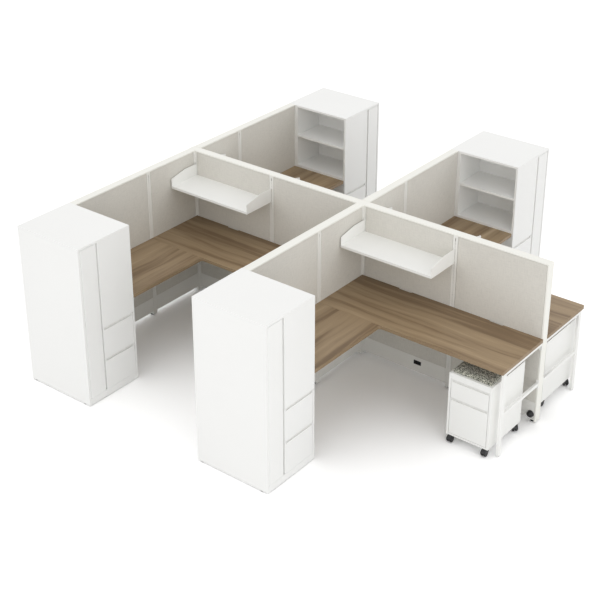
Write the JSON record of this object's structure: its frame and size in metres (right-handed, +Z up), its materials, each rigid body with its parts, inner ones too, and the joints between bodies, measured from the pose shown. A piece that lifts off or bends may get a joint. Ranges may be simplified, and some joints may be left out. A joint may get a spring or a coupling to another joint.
{
  "type": "cubicle workstation",
  "caption": "Cluster of cubicle desks on a panel spine, with L-shaped worksurfaces, shelves, storage towers and rolling pedestals.",
  "frame": {"origin": "on the floor, below the middle of the whole cluster", "axes": "+X along the panel spine towards its free end, +Y across it, +Z up"},
  "size_m": [3.449, 3.792, 1.35],
  "materials": {
    "frame_paint": "satin powder coat",
    "cap_paint": "satin powder coat",
    "tile_fabric": "woven",
    "desk_laminate": "wood-grain laminate",
    "storage_board": "white melamine",
    "shelf_paint": "satin powder coat",
    "cushion_fabric": "speckled tweed",
    "black_plastic": "moulded",
    "runner_steel": "zinc plated",
    "rod_chrome": "plated"
  },
  "bodies": {
    "workstation": {"panel_posts": "frame_paint", "panel_rails": "frame_paint", "panel_top_caps": "cap_paint", "raceway_covers": "frame_paint", "spine_end_cover": "frame_paint", "spine_tiles": "tile_fabric", "left_run_tiles": "tile_fabric", "right_run_tiles": "tile_fabric", "levelling_glides": "black_plastic", "power_outlets": "black_plastic", "front_left_worksurface": "desk_laminate", "front_right_worksurface": "desk_laminate", "back_left_worksurface": "desk_laminate", "back_right_worksurface": "desk_laminate", "worksurface_brackets": "shelf_paint", "end_legs": "shelf_paint", "front_shelves": "shelf_paint", "back_shelves": "shelf_paint", "coat_rods": "rod_chrome", "drawer_runners": "runner_steel", "front_left_tower_case": "storage_board", "front_right_tower_case": "storage_board", "back_left_tower_case": "storage_board", "back_right_tower_case": "storage_board"},
    "front_left_door": {"front_left_wardrobe_door": "storage_board"},
    "front_left_upper_drawer": {"front_left_upper_drawer": "storage_board"},
    "front_left_lower_drawer": {"front_left_lower_drawer": "storage_board"},
    "front_right_door": {"front_right_wardrobe_door": "storage_board"},
    "front_right_upper_drawer": {"front_right_upper_drawer": "storage_board"},
    "front_right_lower_drawer": {"front_right_lower_drawer": "storage_board"},
    "back_left_door": {"back_left_wardrobe_door": "storage_board"},
    "back_left_upper_drawer": {"back_left_upper_drawer": "storage_board"},
    "back_left_lower_drawer": {"back_left_lower_drawer": "storage_board"},
    "back_right_door": {"back_right_wardrobe_door": "storage_board"},
    "back_right_upper_drawer": {"back_right_upper_drawer": "storage_board"},
    "back_right_lower_drawer": {"back_right_lower_drawer": "storage_board"},
    "front_pedestal": {"front_pedestal_case": "storage_board", "front_pedestal_cushion": "cushion_fabric"},
    "front_pedestal_box_drawer": {"front_pedestal_box_drawer": "storage_board"},
    "front_pedestal_file_drawer": {"front_pedestal_file_drawer": "storage_board"},
    "front_caster_1": {"front_caster_yoke_1": "black_plastic"},
    "front_caster_1_wheels": {"front_caster_wheels_1": "black_plastic"},
    "front_caster_2": {"front_caster_yoke_2": "black_plastic"},
    "front_caster_2_wheels": {"front_caster_wheels_2": "black_plastic"},
    "front_caster_3": {"front_caster_yoke_3": "black_plastic"},
    "front_caster_3_wheels": {"front_caster_wheels_3": "black_plastic"},
    "front_caster_4": {"front_caster_yoke_4": "black_plastic"},
    "front_caster_4_wheels": {"front_caster_wheels_4": "black_plastic"},
    "back_pedestal": {"back_pedestal_case": "storage_board", "back_pedestal_cushion": "cushion_fabric"},
    "back_pedestal_box_drawer": {"back_pedestal_box_drawer": "storage_board"},
    "back_pedestal_file_drawer": {"back_pedestal_file_drawer": "storage_board"},
    "back_caster_1": {"back_caster_yoke_1": "black_plastic"},
    "back_caster_1_wheels": {"back_caster_wheels_1": "black_plastic"},
    "back_caster_2": {"back_caster_yoke_2": "black_plastic"},
    "back_caster_2_wheels": {"back_caster_wheels_2": "black_plastic"},
    "back_caster_3": {"back_caster_yoke_3": "black_plastic"},
    "back_caster_3_wheels": {"back_caster_wheels_3": "black_plastic"},
    "back_caster_4": {"back_caster_yoke_4": "black_plastic"},
    "back_caster_4_wheels": {"back_caster_wheels_4": "black_plastic"}
  },
  "joints": [
    {"name": "front_left_door_hinge", "type": "hinge", "parent": "workstation", "child": "front_left_door", "pos_m": [-1.0835, -1.866, 0.7], "axis": [0, 0, -1], "range_deg": [0, 100]},
    {"name": "front_left_upper_drawer_slide", "type": "slide", "parent": "workstation", "child": "front_left_upper_drawer", "axis": [1, 0, 0], "range_m": [0, 0.45]},
    {"name": "front_left_lower_drawer_slide", "type": "slide", "parent": "workstation", "child": "front_left_lower_drawer", "axis": [1, 0, 0], "range_m": [0, 0.45]},
    {"name": "front_right_door_hinge", "type": "hinge", "parent": "workstation", "child": "front_right_door", "pos_m": [0.6765, -1.866, 0.7], "axis": [0, 0, -1], "range_deg": [0, 100]},
    {"name": "front_right_upper_drawer_slide", "type": "slide", "parent": "workstation", "child": "front_right_upper_drawer", "axis": [1, 0, 0], "range_m": [0, 0.45]},
    {"name": "front_right_lower_drawer_slide", "type": "slide", "parent": "workstation", "child": "front_right_lower_drawer", "axis": [1, 0, 0], "range_m": [0, 0.45]},
    {"name": "back_left_door_hinge", "type": "hinge", "parent": "workstation", "child": "back_left_door", "pos_m": [-1.0835, 1.866, 0.7], "axis": [0, 0, 1], "range_deg": [0, 100]},
    {"name": "back_left_upper_drawer_slide", "type": "slide", "parent": "workstation", "child": "back_left_upper_drawer", "axis": [1, 0, 0], "range_m": [0, 0.45]},
    {"name": "back_left_lower_drawer_slide", "type": "slide", "parent": "workstation", "child": "back_left_lower_drawer", "axis": [1, 0, 0], "range_m": [0, 0.45]},
    {"name": "back_right_door_hinge", "type": "hinge", "parent": "workstation", "child": "back_right_door", "pos_m": [0.6765, 1.866, 0.7], "axis": [0, 0, 1], "range_deg": [0, 100]},
    {"name": "back_right_upper_drawer_slide", "type": "slide", "parent": "workstation", "child": "back_right_upper_drawer", "axis": [1, 0, 0], "range_m": [0, 0.45]},
    {"name": "back_right_lower_drawer_slide", "type": "slide", "parent": "workstation", "child": "back_right_lower_drawer", "axis": [1, 0, 0], "range_m": [0, 0.45]},
    {"name": "front_pedestal_roll", "type": "slide", "parent": "workstation", "child": "front_pedestal", "axis": [0, -1, 0], "range_m": [0, 0.6]},
    {"name": "front_pedestal_box_drawer_slide", "type": "slide", "parent": "front_pedestal", "child": "front_pedestal_box_drawer", "axis": [0, -1, 0], "range_m": [0, 0.34]},
    {"name": "front_pedestal_file_drawer_slide", "type": "slide", "parent": "front_pedestal", "child": "front_pedestal_file_drawer", "axis": [0, -1, 0], "range_m": [0, 0.34]},
    {"name": "front_caster_1_swivel", "type": "hinge", "parent": "front_pedestal", "child": "front_caster_1", "pos_m": [1.3385, -0.558, 0.05], "axis": [0, 0, 1], "continuous": true},
    {"name": "front_caster_1_wheels_spin", "type": "hinge", "parent": "front_caster_1", "child": "front_caster_1_wheels", "pos_m": [1.3385, -0.576, 0.027], "axis": [1, 0, 0], "continuous": true},
    {"name": "front_caster_2_swivel", "type": "hinge", "parent": "front_pedestal", "child": "front_caster_2", "pos_m": [1.6285, -0.558, 0.05], "axis": [0, 0, 1], "continuous": true},
    {"name": "front_caster_2_wheels_spin", "type": "hinge", "parent": "front_caster_2", "child": "front_caster_2_wheels", "pos_m": [1.6285, -0.576, 0.027], "axis": [1, 0, 0], "continuous": true},
    {"name": "front_caster_3_swivel", "type": "hinge", "parent": "front_pedestal", "child": "front_caster_3", "pos_m": [1.3385, -0.152, 0.05], "axis": [0, 0, 1], "continuous": true},
    {"name": "front_caster_3_wheels_spin", "type": "hinge", "parent": "front_caster_3", "child": "front_caster_3_wheels", "pos_m": [1.3385, -0.17, 0.027], "axis": [1, 0, 0], "continuous": true},
    {"name": "front_caster_4_swivel", "type": "hinge", "parent": "front_pedestal", "child": "front_caster_4", "pos_m": [1.6285, -0.152, 0.05], "axis": [0, 0, 1], "continuous": true},
    {"name": "front_caster_4_wheels_spin", "type": "hinge", "parent": "front_caster_4", "child": "front_caster_4_wheels", "pos_m": [1.64123, -0.16473, 0.027], "axis": [0.7071, 0.7071, 0], "continuous": true},
    {"name": "back_pedestal_roll", "type": "slide", "parent": "workstation", "child": "back_pedestal", "axis": [0, 1, 0], "range_m": [0, 0.6]},
    {"name": "back_pedestal_box_drawer_slide", "type": "slide", "parent": "back_pedestal", "child": "back_pedestal_box_drawer", "axis": [0, 1, 0], "range_m": [0, 0.34]},
    {"name": "back_pedestal_file_drawer_slide", "type": "slide", "parent": "back_pedestal", "child": "back_pedestal_file_drawer", "axis": [0, 1, 0], "range_m": [0, 0.34]},
    {"name": "back_caster_1_swivel", "type": "hinge", "parent": "back_pedestal", "child": "back_caster_1", "pos_m": [1.3385, 0.638, 0.05], "axis": [0, 0, 1], "continuous": true},
    {"name": "back_caster_1_wheels_spin", "type": "hinge", "parent": "back_caster_1", "child": "back_caster_1_wheels", "pos_m": [1.3385, 0.62, 0.027], "axis": [1, 0, 0], "continuous": true},
    {"name": "back_caster_2_swivel", "type": "hinge", "parent": "back_pedestal", "child": "back_caster_2", "pos_m": [1.6285, 0.638, 0.05], "axis": [0, 0, 1], "continuous": true},
    {"name": "back_caster_2_wheels_spin", "type": "hinge", "parent": "back_caster_2", "child": "back_caster_2_wheels", "pos_m": [1.64123, 0.62527, 0.027], "axis": [0.7071, 0.7071, 0], "continuous": true},
    {"name": "back_caster_3_swivel", "type": "hinge", "parent": "back_pedestal", "child": "back_caster_3", "pos_m": [1.3385, 0.232, 0.05], "axis": [0, 0, 1], "continuous": true},
    {"name": "back_caster_3_wheels_spin", "type": "hinge", "parent": "back_caster_3", "child": "back_caster_3_wheels", "pos_m": [1.3385, 0.25, 0.027], "axis": [1, 0, 0], "continuous": true},
    {"name": "back_caster_4_swivel", "type": "hinge", "parent": "back_pedestal", "child": "back_caster_4", "pos_m": [1.6285, 0.232, 0.05], "axis": [0, 0, 1], "continuous": true},
    {"name": "back_caster_4_wheels_spin", "type": "hinge", "parent": "back_caster_4", "child": "back_caster_4_wheels", "pos_m": [1.6285, 0.25, 0.027], "axis": [1, 0, 0], "continuous": true}
  ]
}
